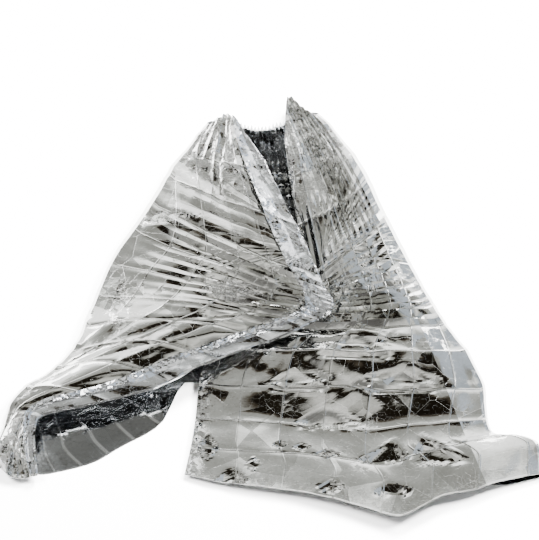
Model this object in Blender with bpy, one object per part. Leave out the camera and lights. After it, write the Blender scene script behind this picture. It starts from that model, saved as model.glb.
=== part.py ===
"""Emergency foil blanket laid on the floor as a cape: its back underneath, both front panels folded over it.

Metres, +Z up. The origin is on the floor, under the middle of the blanket. +X is to the right and +Y runs
from the hem to the neck. It is one sheet of film, 2.10 m by 1.30 m. `down` is the distance from the neck
edge towards the hem. Each row of the sheet runs from the left front edge, over the left side fold, under
the back, over the right side fold and on to the right front edge. `share` is how far along its part of the
row a point lies, from 0 to 1.
"""

import bpy
import bmesh
import numpy as np

SHEET_WIDTH = 2.10
SHEET_LENGTH = 1.30
SOLID_THICKNESS = 0.0012
PACKING_FOLDS_ACROSS = 20
PACKING_FOLDS_DOWN = 12

# Steps of the sheet down each packing fold, from the neck to the hem. Where the front panels are gathered,
# each step is the side of one pleat.
STEPS_PER_FOLD = (3, 4, 4, 6, 6, 6, 4, 2, 2, 2, 2, 2)

# Steps of the sheet across each part of a row.
STRIP_STEPS = 3
EDGE_ROLL_STEPS = 2
LEFT_STEPS = 15
SIDE_ROLL_STEPS = 3
BACK_STEPS = 12
RIGHT_STEPS = 24

# The front edge that is turned back on the left panel.
STRIP_WIDTH = 0.052
STRIP_GAP = 0.008
STRIP_TAPER = (
    (0.00, 0.036),
    (0.12, 0.062),
    (0.24, 0.080),
    (0.38, 0.074),
    (0.56, 0.056),
    (0.68, 0.052),
    (1.12, 0.052),
    (1.21, 0.024),
    (1.30, 0.014),
)

# Plan of the side folds and the front edges: down, x, y.
LEFT_FOLD = (
    (0.00, -0.140, 1.084),
    (0.10, -0.192, 0.998),
    (0.20, -0.230, 0.930),
    (0.30, -0.264, 0.855),
    (0.42, -0.308, 0.770),
    (0.54, -0.361, 0.675),
    (0.70, -0.405, 0.540),
    (0.86, -0.446, 0.430),
    (1.00, -0.502, 0.360),
    (1.08, -0.550, 0.320),
    (1.15, -0.577, 0.275),
    (1.21, -0.592, 0.218),
    (1.26, -0.611, 0.150),
    (1.30, -0.602, 0.100),
)
RIGHT_FOLD = (
    (0.00, 0.119, 1.112),
    (0.10, 0.184, 1.016),
    (0.20, 0.236, 0.915),
    (0.30, 0.270, 0.825),
    (0.45, 0.320, 0.700),
    (0.60, 0.370, 0.584),
    (0.74, 0.405, 0.510),
    (0.867, 0.458, 0.420),
    (0.975, 0.495, 0.322),
    (1.083, 0.499, 0.232),
    (1.150, 0.512, 0.190),
    (1.20, 0.565, 0.180),
    (1.25, 0.612, 0.156),
    (1.30, 0.617, 0.075),
)
LEFT_EDGE = (
    (0.00, -0.060, 1.065),
    (0.10, 0.004, 0.930),
    (0.20, 0.060, 0.795),
    (0.30, 0.106, 0.665),
    (0.36, 0.132, 0.592),
    (0.44, 0.148, 0.560),
    (0.54, 0.145, 0.530),
    (0.62, 0.124, 0.516),
    (0.66, 0.094, 0.502),
    (0.78, -0.018, 0.442),
    (0.90, -0.150, 0.382),
    (1.00, -0.250, 0.320),
    (1.08, -0.360, 0.280),
    (1.15, -0.456, 0.244),
    (1.21, -0.518, 0.208),
    (1.26, -0.526, 0.145),
    (1.30, -0.517, 0.070),
)
RIGHT_EDGE = (
    (0.00, 0.042, 1.020),
    (0.12, 0.055, 0.890),
    (0.24, 0.078, 0.745),
    (0.36, 0.100, 0.595),
    (0.49, 0.108, 0.565),
    (0.62, 0.096, 0.532),
    (0.72, 0.030, 0.500),
    (0.80, -0.055, 0.468),
    (0.88, -0.125, 0.420),
    (0.975, -0.154, 0.330),
    (1.083, -0.160, 0.238),
    (1.192, -0.170, 0.155),
    (1.30, -0.184, 0.077),
)

# Curves of the neck edge and of the hem: share, x, y.
LEFT_NECK = (
    (0.00, -0.060, 1.065),
    (0.40, -0.082, 1.092),
    (0.60, -0.098, 1.105),
    (1.00, -0.140, 1.084),
)
BACK_NECK = (
    (0.00, -0.140, 1.084),
    (0.25, -0.075, 1.064),
    (0.50, -0.010, 1.055),
    (0.75, 0.058, 1.078),
    (1.00, 0.119, 1.112),
)
RIGHT_NECK = (
    (0.00, 0.042, 1.020),
    (0.35, 0.044, 1.090),
    (0.56, 0.049, 1.152),
    (0.64, 0.058, 1.160),
    (0.80, 0.086, 1.133),
    (1.00, 0.119, 1.112),
)
LEFT_HEM = (
    (0.00, -0.517, 0.070),
    (0.35, -0.545, 0.062),
    (0.70, -0.581, 0.070),
    (1.00, -0.602, 0.100),
)
BACK_HEM = (
    (0.000, -0.602, 0.100),
    (0.050, -0.560, 0.086),
    (0.100, -0.505, 0.084),
    (0.140, -0.470, 0.091),
    (0.190, -0.396, 0.114),
    (0.240, -0.333, 0.157),
    (0.310, -0.242, 0.220),
    (0.370, -0.184, 0.335),
    (0.450, -0.100, 0.325),
    (0.600, 0.080, 0.235),
    (0.750, 0.270, 0.120),
    (0.870, 0.430, 0.062),
    (0.940, 0.530, 0.056),
    (1.000, 0.617, 0.075),
)
RIGHT_HEM = (
    (0.00, -0.184, 0.077),
    (0.08, -0.117, 0.057),
    (0.17, -0.046, 0.043),
    (0.32, 0.069, 0.023),
    (0.43, 0.161, -0.003),
    (0.52, 0.230, -0.028),
    (0.60, 0.294, -0.049),
    (0.67, 0.352, -0.020),
    (0.73, 0.402, 0.009),
    (0.81, 0.460, 0.023),
    (0.88, 0.522, 0.048),
    (1.00, 0.617, 0.075),
)
NECK_ENDS = 0.16

# Where each part of the rows lies in the sheet, from the left front edge: down, start, end.
LEFT_PLACES = (
    (0.00, STRIP_WIDTH, 0.40),
    (0.45, STRIP_WIDTH, 0.62),
    (0.70, STRIP_WIDTH, 0.60),
    (1.00, STRIP_WIDTH, 0.38),
    (1.30, STRIP_WIDTH, 0.16),
)
BACK_PLACES = (
    (0.00, 0.40, 1.60),
    (0.45, 0.62, 1.52),
    (0.70, 0.60, 1.48),
    (1.00, 0.38, 1.40),
    (1.30, 0.16, 1.34),
)
RIGHT_PLACES = (
    (0.00, SHEET_WIDTH, 1.60),
    (0.45, SHEET_WIDTH, 1.52),
    (0.70, SHEET_WIDTH, 1.48),
    (1.00, SHEET_WIDTH, 1.40),
    (1.30, SHEET_WIDTH, 1.34),
)

# Height of the left panel above the floor: down, at its front edge, swelling in its middle, at its fold.
LEFT_HEIGHTS = (
    (0.00, 0.066, 0.006, 0.028),
    (0.15, 0.076, 0.014, 0.042),
    (0.30, 0.080, 0.020, 0.046),
    (0.50, 0.084, 0.022, 0.042),
    (0.65, 0.078, 0.024, 0.040),
    (0.80, 0.062, 0.026, 0.038),
    (1.00, 0.048, 0.024, 0.034),
    (1.15, 0.042, 0.012, 0.030),
    (1.21, 0.036, 0.010, 0.026),
    (1.30, 0.012, 0.006, 0.012),
)

# The same for the right panel, which passes under the left one at its front edge.
RIGHT_HEIGHTS = (
    (0.00, 0.030, 0.008, 0.028),
    (0.20, 0.026, 0.016, 0.046),
    (0.40, 0.026, 0.020, 0.044),
    (0.62, 0.026, 0.022, 0.040),
    (0.867, 0.024, 0.026, 0.036),
    (0.975, 0.018, 0.014, 0.034),
    (1.083, 0.012, 0.002, 0.024),
    (1.192, 0.013, 0.009, 0.020),
    (1.30, 0.010, 0.018, 0.014),
)

# How steep the sides of a pleat may be, and the tallest pleat from ridge to valley.
PLEAT_SLOPE = 2.2
FRONT_PLEAT = 0.018
BACK_PLEAT = 0.012

# The place where the front panels are gathered, how far from it their pleats start to fade and have faded,
# and how far raised film leans towards the hem for each metre of its height.
GATHER_X, GATHER_Y = 0.140, 0.545
LEFT_REACH = (0.06, 0.36)
RIGHT_REACH = (0.20, 0.50)
FAR_PLEAT = 0.12
LEAN = 0.72

# How far the rows of the left panel arch towards the neck between its front edge and its fold: down, rise.
LEFT_ARCH = (
    (0.00, 0.0),
    (0.52, 0.0),
    (0.66, 0.012),
    (0.80, 0.042),
    (0.95, 0.042),
    (1.12, 0.010),
    (1.30, 0.0),
)

# Where the lower rows of the right panel begin to lie flat, and do: down.
CALM_FROM = (0.92, 1.04)

# The panels of the packing folds: how far their corners stand off, and the ridge along each fold.
CORNER_RISE = 0.006
RIDGE_RISE = 0.0026
RIDGE_HALF_WIDTH = 0.022

# Dents of the front panels, each standing on a packing fold: x and y of its point, x of its left and right
# foot, y of its base, depth.
DENTS = (
    (0.290, 0.174, 0.205, 0.322, 0.114, 0.010),
    (0.345, 0.185, 0.322, 0.465, 0.108, 0.010),
    (0.278, 0.051, 0.232, 0.334, 0.017, 0.006),
    (-0.080, 0.098, -0.117, -0.039, 0.057, 0.006),
    (0.140, 0.262, 0.060, 0.215, 0.214, 0.009),
    (0.320, 0.370, 0.215, 0.400, 0.316, 0.011),
    (0.070, 0.360, 0.000, 0.150, 0.316, 0.009),
    (0.200, 0.470, 0.110, 0.300, 0.410, 0.012),
    (-0.566, 0.172, -0.584, -0.528, 0.070, 0.010),
)

FILM_COLOUR = (0.80, 0.81, 0.79, 1.0)
FILM_ROUGHNESS = 0.16


def column(table, number):
    return np.array([row[number] for row in table])


def along(table, number, place):
    """The value in a column of a table, on a smooth curve through its rows."""
    at, value = column(table, 0), column(table, number)
    rise = np.diff(value) / np.diff(at)
    before, after = rise[:-1], rise[1:]
    same = before * after > 0
    between = np.divide(2 * before * after, before + after, out=np.zeros(len(before)), where=same)
    slope = np.concatenate([rise[:1], between, rise[-1:]])
    row = np.clip(np.searchsorted(at, place, side="right") - 1, 0, len(at) - 2)
    width = at[row + 1] - at[row]
    t = np.clip((place - at[row]) / width, 0, 1)
    from_row = (1 + 2 * t) * (1 - t) ** 2 * value[row] + t * (1 - t) ** 2 * width * slope[row]
    to_row = t * t * (3 - 2 * t) * value[row + 1] - t * t * (1 - t) * width * slope[row + 1]
    return from_row + to_row


def smooth(low, high, value):
    part = np.clip((value - low) / (high - low), 0, 1)
    return part * part * (3 - 2 * part)


def fold_lines():
    """Distance down the sheet of each of its lines."""
    fold = SHEET_LENGTH / PACKING_FOLDS_DOWN
    lines = [0.0]
    for number, steps in enumerate(STEPS_PER_FOLD):
        lines += [fold * (number + (step + 1) / steps) for step in range(steps)]
    return np.array(lines)


LINES = fold_lines()


def zigzag(number, count, seed):
    """Ridge on every even line and valley on every odd one, each a little taller or lower than the next."""
    tall = np.random.default_rng(seed).uniform(0.55, 1.15, count + 1)
    return (1 - 2 * np.abs(np.mod(number + 1, 2) - 1)) * np.interp(number, np.arange(count + 1), tall)


def plan_of(table, place):
    return np.stack([along(table, 1, place), along(table, 2, place)], axis=-1)


def length_of(vectors):
    return np.linalg.norm(vectors, axis=-1)


def across_of(first, second):
    """How wide the strip between two neighbouring lines is: the part of `second` square to `first`."""
    cross = first[..., 0] * second[..., 1] - first[..., 1] * second[..., 0]
    return np.abs(cross) / np.maximum(length_of(first), 1e-9)


def pleat_height(cut, laid, tallest):
    """How tall a fold stands where a length of film is laid in less than its length."""
    spare = np.sqrt(np.maximum(cut * cut - laid * laid, 0))
    return np.minimum(np.minimum(spare, PLEAT_SLOPE * laid), tallest)


def swell(across, down):
    """Low uneven rise and fall of the film, as it lies loose."""
    return (
        0.0035 * np.sin(9.1 * across + 5.3 * down + 0.4)
        + 0.0030 * np.sin(-6.7 * across + 12.4 * down + 2.1)
        + 0.0020 * np.sin(21.0 * across - 8.0 * down + 4.0)
    )


def creases(across, down):
    """Flat facets between the packing folds, and the ridge or groove along each fold."""
    shape = (PACKING_FOLDS_ACROSS + 1, PACKING_FOLDS_DOWN + 1)
    corner = np.random.default_rng(11).uniform(-CORNER_RISE, CORNER_RISE, shape)
    i_place = np.clip(across / SHEET_WIDTH, 0, 1) * PACKING_FOLDS_ACROSS
    j_place = np.clip(down / SHEET_LENGTH, 0, 1) * PACKING_FOLDS_DOWN
    i = np.minimum(i_place.astype(int), PACKING_FOLDS_ACROSS - 1)
    j = np.minimum(j_place.astype(int), PACKING_FOLDS_DOWN - 1)
    s, t = i_place - i, j_place - j
    a, b, c, d = corner[i, j], corner[i + 1, j], corner[i, j + 1], corner[i + 1, j + 1]
    falling = np.where(s > t, a + (b - a) * s + (d - b) * t, a + (d - c) * s + (c - a) * t)
    rising = np.where(s + t < 1, a + (b - a) * s + (c - a) * t, d + (c - d) * (1 - s) + (b - d) * (1 - t))
    facet = np.where((i + j) % 2 == 0, falling, rising)
    from_fold = np.abs(j_place - np.round(j_place)) * SHEET_LENGTH / PACKING_FOLDS_DOWN
    side = np.where(np.round(j_place) % 2 == 0, 1, -1)
    return facet + side * RIDGE_RISE * np.clip(1 - from_fold / RIDGE_HALF_WIDTH, 0, 1)


def dents(points):
    """Three-sided dents that stand on a packing fold, each with its point towards the neck."""
    depth = np.zeros(points.shape[:2])
    for point_x, point_y, left_x, right_x, base_y, deepest in DENTS:
        up = (points[..., 1] - base_y) / (point_y - base_y)
        lean = np.clip(up, 0, 1)
        left = left_x + (point_x - left_x) * lean
        right = right_x + (point_x - right_x) * lean
        half = np.maximum((right - left) / 2, 1e-4)
        off_middle = np.abs(points[..., 0] - (left + right) / 2) / half
        inside = np.clip(2 * (1 - off_middle), 0, 1) * np.clip(1 - up, 0, 1) * np.clip(1 + 5 * up, 0, 1)
        depth = np.maximum(depth, deepest * inside)
    return depth


class Panel:
    """A part of the sheet, from one line down it to another, laid in rows."""

    def __init__(self, start, end, neck, hem, hem_from, places, steps, seed, gathered):
        self.start = start
        self.end = end
        self.neck = neck
        self.hem = hem
        self.hem_from = hem_from
        self.places = places
        self.steps = steps
        self.seed = seed
        self.gathered = gathered

    def across(self, share, down):
        """Distance from the left front edge, measured in the sheet."""
        start, end = along(self.places, 1, down), along(self.places, 2, down)
        return start + (end - start) * share

    def straight(self, share, down):
        start, end = plan_of(self.start, down), plan_of(self.end, down)
        return start + (end - start) * share[..., None]

    def plan(self, share, down):
        points = self.straight(share, down)
        to_hem = np.clip((down - self.hem_from) / (SHEET_LENGTH - self.hem_from), 0, 1) ** 1.6
        to_neck = np.clip(1 - down / NECK_ENDS, 0, 1) ** 2
        for curve, reach, place in ((self.hem, to_hem, SHEET_LENGTH), (self.neck, to_neck, 0.0)):
            off_straight = plan_of(curve, share) - self.straight(share, np.full(down.shape, place))
            points = points + off_straight * reach[..., None]
        return points

    def ways(self, share, down, step_down):
        """Plan directions along the row and down the sheet, each as long as the whole row and one step."""
        above, below = np.maximum(down - step_down / 2, 0), np.minimum(down + step_down / 2, SHEET_LENGTH)
        steps = (below - above) / step_down
        down_way = (self.plan(share, below) - self.plan(share, above)) / steps[..., None]
        left, right = np.maximum(share - 0.01, 0), np.minimum(share + 0.01, 1)
        along_way = (self.plan(right, down) - self.plan(left, down)) / (right - left)[..., None]
        return along_way, down_way

    def row_zigzag(self, down):
        return zigzag(np.interp(down, LINES, np.arange(len(LINES))), len(LINES) - 1, self.seed)

    def neck_zigzag(self, share):
        return zigzag(share * self.steps, self.steps, self.seed + 1)

    def row_part(self, down):
        """How far the pleats along the rows have opened, from the neck to the hem."""
        starts, full, fades, gone = self.gathered
        return smooth(starts, full, down) * (1 - smooth(fades, gone, down))

    def pleats(self, share, down):
        """Height of the pleats that run along the rows, and of those that run down from the neck."""
        step_down = np.interp(down, LINES[:-1] + np.diff(LINES) / 2, np.diff(LINES))
        along_way, down_way = self.ways(share, down, step_down)
        row_pleat = pleat_height(step_down, across_of(along_way, down_way), FRONT_PLEAT)
        ends = (self.across(np.full(down.shape, end), down) for end in (0.0, 1.0))
        step_across = np.abs(np.subtract(*ends)) / self.steps
        neck_pleat = pleat_height(step_across, across_of(down_way, along_way) / self.steps, FRONT_PLEAT)
        rows = row_pleat * self.row_zigzag(down) * self.row_part(down)
        columns = neck_pleat * self.neck_zigzag(share) * (1 - smooth(0.06, 0.22, down))
        return (rows + columns) / 2


LEFT = Panel(
    LEFT_EDGE, LEFT_FOLD, LEFT_NECK, LEFT_HEM, 1.22, LEFT_PLACES, LEFT_STEPS, 21,
    (0.14, 0.32, 0.66, 0.92),
)
BACK = Panel(
    LEFT_FOLD, RIGHT_FOLD, BACK_NECK, BACK_HEM, 0.55, BACK_PLACES, BACK_STEPS, 5,
    (0.10, 0.24, 0.55, 0.75),
)
RIGHT = Panel(
    RIGHT_EDGE, RIGHT_FOLD, RIGHT_NECK, RIGHT_HEM, 0.93, RIGHT_PLACES, RIGHT_STEPS, 31,
    (0.14, 0.32, 0.62, 0.84),
)


def panel_height(heights, share, down):
    edge, middle, fold = (along(heights, number, down) for number in (1, 2, 3))
    return edge + (fold - edge) * share + middle * 4 * share * (1 - share)


def lay_front(panel, heights, reach, share, down):
    """Points of a front panel, from its front edge to its side fold."""
    points = panel.plan(share, down)
    across = panel.across(share, down)
    base = panel_height(heights, share, down)
    flat_rows = 1 - 0.6 * smooth(*CALM_FROM, down) * (panel is RIGHT)
    high = base + (swell(across, down) + creases(across, down)) * np.clip(base / 0.020, 0, 1) * flat_rows
    open_pleat = (0.15 + 0.85 * smooth(0, 0.2, share)) * (1 - 0.75 * smooth(0.68, 1.0, share))
    clear_of_strip = np.maximum(smooth(0.42, 0.60, share), smooth(0.14, 0.30, down))
    near_gather = 1 - smooth(*reach, np.hypot(points[..., 0] - GATHER_X, points[..., 1] - GATHER_Y))
    far_pleat = FAR_PLEAT + 0.35 * (1 - smooth(0.46, 0.62, down))
    open_pleat = open_pleat * (far_pleat + (1 - far_pleat) * near_gather)
    high = high + panel.pleats(share, down) * open_pleat * clear_of_strip - dents(points)
    lowest = SOLID_THICKNESS / 2 + 0.0035 * (1 - smooth(1.22, 1.27, down))
    points[..., 1] -= LEAN * base * (1 - smooth(1.05, 1.25, down))
    if panel is LEFT:
        points[..., 1] += along(LEFT_ARCH, 1, down) * 4 * share * (1 - share)
    return np.concatenate([points, np.maximum(high, lowest)[..., None]], axis=-1)


def lay_back(share, down):
    """Points of the back, from the left side fold to the right one."""
    points = BACK.plan(share, down)
    rows = (1 + BACK.row_zigzag(down)) * BACK.row_part(down)
    columns = (1 + BACK.neck_zigzag(share)) * (1 - smooth(0.06, 0.22, down))
    high = SOLID_THICKNESS / 2 + np.maximum(rows + columns, 0) * BACK_PLEAT / 2
    return np.concatenate([points, high[..., None]], axis=-1)


def grid_of(steps):
    share = np.arange(steps + 1) / steps
    return np.meshgrid(share, LINES)


def drawn_in(grid, radius):
    """The points of a panel with its last column drawn in by the radius of the fold beyond it."""
    back_along = grid[:, 0, :2] - grid[:, -1, :2]
    shift = back_along / length_of(back_along)[:, None] * radius[:, None]
    near = np.linspace(0, 1, grid.shape[1]) ** 3
    moved = grid.copy()
    moved[..., :2] += shift[:, None, :] * near[None, :, None]
    return moved


def roll(top, bottom, top_way, bottom_way, steps):
    """Points round a fold, from the upper layer to the lower one, without its two ends."""
    radius = (top[:, 2] - bottom[:, 2]) / 2
    columns = []
    for step in range(1, steps):
        part = step / steps
        way = top_way * (1 - part) + bottom_way * part
        way = way / length_of(way)[:, None]
        turned = top * (1 - part) + bottom * part
        turned[:, :2] += way * (radius * np.sin(np.pi * part))[:, None]
        turned[:, 2] = bottom[:, 2] + radius * (1 + np.cos(np.pi * part))
        columns.append(turned)
    return np.stack(columns, axis=1)


def outward(grid):
    """Unit plan directions in which the rows of a panel leave its last column."""
    way = grid[:, -1, :2] - grid[:, -2, :2]
    return way / length_of(way)[:, None]


def turned_back_strip(left):
    """The strip of the left front edge, lying just above the panel that it is turned back on."""
    length = length_of(left[:, -1, :2] - left[:, 0, :2])
    width = np.minimum(along(STRIP_TAPER, 1, LINES), 0.45 * length)
    number = np.outer(width / length * LEFT_STEPS, 1 - np.arange(STRIP_STEPS + 1) / STRIP_STEPS)
    before = np.minimum(number.astype(int), LEFT_STEPS - 1)
    part = (number - before)[..., None]
    rows = np.arange(len(left))[:, None]
    strip = left[rows, before] * (1 - part) + left[rows, before + 1] * part
    strip[..., 2] += STRIP_GAP
    return strip


def middle_surface():
    """Grid of points of the whole sheet, a row for each line down it."""
    left = lay_front(LEFT, LEFT_HEIGHTS, LEFT_REACH, *grid_of(LEFT_STEPS))
    right = lay_front(RIGHT, RIGHT_HEIGHTS, RIGHT_REACH, *grid_of(RIGHT_STEPS))
    back = lay_back(*grid_of(BACK_STEPS))
    left_radius = (left[:, -1, 2] - back[:, 0, 2]) / 2
    right_radius = (right[:, -1, 2] - back[:, -1, 2]) / 2
    left = drawn_in(left, left_radius)
    right = drawn_in(right, right_radius)
    back = drawn_in(back, right_radius)
    back = drawn_in(back[:, ::-1], left_radius)[:, ::-1]
    strip = turned_back_strip(left)
    edge_roll = roll(strip[:, -1], left[:, 0], outward(strip), outward(left[:, ::-1]), EDGE_ROLL_STEPS)
    left_roll = roll(left[:, -1], back[:, 0], outward(left), outward(back[:, ::-1]), SIDE_ROLL_STEPS)
    right_roll = roll(right[:, -1], back[:, -1], outward(right), outward(back), SIDE_ROLL_STEPS)
    parts = [strip, edge_roll, left, left_roll, back, right_roll[:, ::-1], right[:, ::-1]]
    return np.concatenate(parts, axis=1)


def eased(grid):
    """The grid with each point moved to the middle of its neighbours, which flattens the pleats."""
    for axis in (0, 1):
        inner = np.take(grid, range(1, grid.shape[axis] - 1), axis=axis)
        before = np.take(grid, range(0, grid.shape[axis] - 2), axis=axis)
        after = np.take(grid, range(2, grid.shape[axis]), axis=axis)
        first, last = np.take(grid, [0], axis=axis), np.take(grid, [-1], axis=axis)
        grid = np.concatenate([first, (before + 2 * inner + after) / 4, last], axis=axis)
    return grid


def normals(grid):
    """Unit normals of a grid of points."""
    cross = np.cross(np.gradient(grid, axis=1), np.gradient(grid, axis=0))
    return cross / np.maximum(length_of(cross), 1e-12)[..., None]


def sheet_faces(rows, columns):
    """Corners of the faces of both sides of the sheet and of its cut edges."""
    def point(side, row, col):
        return side * rows * columns + row * columns + col

    faces = []
    for row in range(rows - 1):
        for col in range(columns - 1):
            ring = [(row, col), (row + 1, col), (row + 1, col + 1), (row, col + 1)]
            faces.append([point(0, *corner) for corner in ring])
            faces.append([point(1, *corner) for corner in reversed(ring)])
    rim = [(0, col) for col in range(columns)]
    rim += [(row, columns - 1) for row in range(1, rows)]
    rim += [(rows - 1, col) for col in range(columns - 2, -1, -1)]
    rim += [(row, 0) for row in range(rows - 2, 0, -1)]
    for here, following in zip(rim, rim[1:] + rim[:1]):
        faces.append([point(0, *here), point(0, *following), point(1, *following), point(1, *here)])
    return faces


def film_material():
    material = bpy.data.materials.new("film")
    material.use_nodes = True
    shader = material.node_tree.nodes["Principled BSDF"]
    shader.inputs["Base Color"].default_value = FILM_COLOUR
    shader.inputs["Metallic"].default_value = 1.0
    shader.inputs["Roughness"].default_value = FILM_ROUGHNESS
    return material


def build_blanket():
    grid = middle_surface()
    half = normals(eased(grid)) * SOLID_THICKNESS / 2
    sides = np.stack([grid + half, grid - half])
    sides[..., 2] = np.maximum(sides[..., 2], 0)
    low, high = sides.min(axis=(0, 1, 2)), sides.max(axis=(0, 1, 2))
    sides[..., :2] -= (low[:2] + high[:2]) / 2
    mesh = bpy.data.meshes.new("blanket")
    mesh.from_pydata(sides.reshape(-1, 3).tolist(), [], sheet_faces(*grid.shape[:2]))
    shape = bmesh.new()
    shape.from_mesh(mesh)
    bmesh.ops.recalc_face_normals(shape, faces=shape.faces)
    bmesh.ops.triangulate(shape, faces=shape.faces)
    shape.to_mesh(mesh)
    shape.free()
    mesh.materials.append(film_material())
    blanket = bpy.data.objects.new("blanket", mesh)
    bpy.context.scene.collection.objects.link(blanket)


for old in list(bpy.data.objects):
    bpy.data.objects.remove(old)
build_blanket()
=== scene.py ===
"""Looks of the emergency foil blanket: one sheet of silver film, laid on the floor as a gathered cape."""

import math

import bpy
import numpy as np
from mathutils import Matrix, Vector


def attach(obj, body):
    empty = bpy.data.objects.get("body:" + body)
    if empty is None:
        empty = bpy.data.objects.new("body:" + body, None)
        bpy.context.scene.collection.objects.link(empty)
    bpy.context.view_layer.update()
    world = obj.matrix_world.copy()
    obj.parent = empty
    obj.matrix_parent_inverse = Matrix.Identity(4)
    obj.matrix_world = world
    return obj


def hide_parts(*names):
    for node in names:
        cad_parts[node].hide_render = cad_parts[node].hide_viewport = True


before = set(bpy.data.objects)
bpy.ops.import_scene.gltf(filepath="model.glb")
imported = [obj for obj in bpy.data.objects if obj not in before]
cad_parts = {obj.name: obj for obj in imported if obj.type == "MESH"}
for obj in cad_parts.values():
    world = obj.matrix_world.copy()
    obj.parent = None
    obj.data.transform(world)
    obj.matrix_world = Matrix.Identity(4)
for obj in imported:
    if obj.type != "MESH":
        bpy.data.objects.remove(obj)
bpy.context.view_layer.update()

SHEET_WIDTH = 2.10
SHEET_LENGTH = 1.30
PACKING_FOLDS_ACROSS = 20
PACKING_FOLDS_DOWN = 12

# Steps of the sheet down each packing fold, from the neck to the hem. Where the front panels are gathered,
# each step is the side of one pleat.
STEPS_PER_FOLD = (3, 4, 4, 6, 6, 6, 4, 2, 2, 2, 2, 2)

# Sides of the pleats that run down from the neck edge, in each part of a row.
LEFT_STEPS = 15
BACK_STEPS = 60
RIGHT_STEPS = 24

# The front edge that is turned back on the left panel.
STRIP_WIDTH = 0.052
STRIP_GAP = 0.008
STRIP_TAPER = (
    (0.00, 0.036),
    (0.12, 0.062),
    (0.24, 0.080),
    (0.38, 0.074),
    (0.56, 0.056),
    (0.68, 0.052),
    (1.12, 0.052),
    (1.21, 0.024),
    (1.30, 0.014),
)

# Plan of the side folds and the front edges: down, x, y.
LEFT_FOLD = (
    (0.00, -0.140, 1.084),
    (0.10, -0.192, 0.998),
    (0.20, -0.230, 0.930),
    (0.30, -0.264, 0.855),
    (0.42, -0.308, 0.770),
    (0.54, -0.361, 0.675),
    (0.70, -0.405, 0.540),
    (0.86, -0.446, 0.430),
    (1.00, -0.502, 0.360),
    (1.08, -0.550, 0.320),
    (1.15, -0.577, 0.275),
    (1.21, -0.592, 0.218),
    (1.26, -0.611, 0.150),
    (1.30, -0.602, 0.100),
)
RIGHT_FOLD = (
    (0.00, 0.119, 1.112),
    (0.10, 0.184, 1.016),
    (0.20, 0.236, 0.915),
    (0.30, 0.270, 0.825),
    (0.45, 0.320, 0.700),
    (0.60, 0.370, 0.584),
    (0.74, 0.405, 0.510),
    (0.867, 0.458, 0.420),
    (0.975, 0.495, 0.322),
    (1.083, 0.499, 0.232),
    (1.150, 0.512, 0.190),
    (1.20, 0.565, 0.180),
    (1.25, 0.612, 0.156),
    (1.30, 0.617, 0.075),
)
LEFT_EDGE = (
    (0.00, -0.060, 1.065),
    (0.10, 0.004, 0.930),
    (0.20, 0.060, 0.795),
    (0.30, 0.106, 0.665),
    (0.36, 0.132, 0.592),
    (0.44, 0.148, 0.560),
    (0.54, 0.145, 0.530),
    (0.62, 0.124, 0.516),
    (0.66, 0.094, 0.502),
    (0.78, -0.018, 0.442),
    (0.90, -0.150, 0.382),
    (1.00, -0.250, 0.320),
    (1.08, -0.360, 0.280),
    (1.15, -0.456, 0.244),
    (1.21, -0.518, 0.208),
    (1.26, -0.526, 0.145),
    (1.30, -0.517, 0.070),
)
RIGHT_EDGE = (
    (0.00, 0.042, 1.020),
    (0.12, 0.055, 0.890),
    (0.24, 0.078, 0.745),
    (0.36, 0.100, 0.595),
    (0.49, 0.108, 0.565),
    (0.62, 0.096, 0.532),
    (0.72, 0.030, 0.500),
    (0.80, -0.055, 0.468),
    (0.88, -0.125, 0.420),
    (0.975, -0.154, 0.330),
    (1.083, -0.160, 0.238),
    (1.192, -0.170, 0.155),
    (1.30, -0.184, 0.077),
)

# Curves of the neck edge and of the hem: share, x, y.
LEFT_NECK = (
    (0.00, -0.060, 1.065),
    (0.40, -0.082, 1.092),
    (0.60, -0.098, 1.105),
    (1.00, -0.140, 1.084),
)
BACK_NECK = (
    (0.00, -0.140, 1.084),
    (0.25, -0.075, 1.064),
    (0.50, -0.010, 1.055),
    (0.75, 0.058, 1.078),
    (1.00, 0.119, 1.112),
)
RIGHT_NECK = (
    (0.00, 0.042, 1.020),
    (0.35, 0.044, 1.090),
    (0.56, 0.049, 1.152),
    (0.64, 0.058, 1.160),
    (0.80, 0.086, 1.133),
    (1.00, 0.119, 1.112),
)
LEFT_HEM = (
    (0.00, -0.517, 0.070),
    (0.35, -0.545, 0.062),
    (0.70, -0.581, 0.070),
    (1.00, -0.602, 0.100),
)
BACK_HEM = (
    (0.000, -0.602, 0.100),
    (0.050, -0.560, 0.086),
    (0.100, -0.505, 0.084),
    (0.140, -0.470, 0.091),
    (0.190, -0.396, 0.114),
    (0.240, -0.333, 0.157),
    (0.310, -0.242, 0.220),
    (0.370, -0.184, 0.335),
    (0.450, -0.100, 0.325),
    (0.600, 0.080, 0.235),
    (0.750, 0.270, 0.120),
    (0.870, 0.430, 0.062),
    (0.940, 0.530, 0.056),
    (1.000, 0.617, 0.075),
)
RIGHT_HEM = (
    (0.00, -0.184, 0.077),
    (0.08, -0.117, 0.057),
    (0.17, -0.046, 0.043),
    (0.32, 0.069, 0.023),
    (0.43, 0.161, -0.003),
    (0.52, 0.230, -0.028),
    (0.60, 0.294, -0.049),
    (0.67, 0.352, -0.020),
    (0.73, 0.402, 0.009),
    (0.81, 0.460, 0.023),
    (0.88, 0.522, 0.048),
    (1.00, 0.617, 0.075),
)
NECK_ENDS = 0.16

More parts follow.
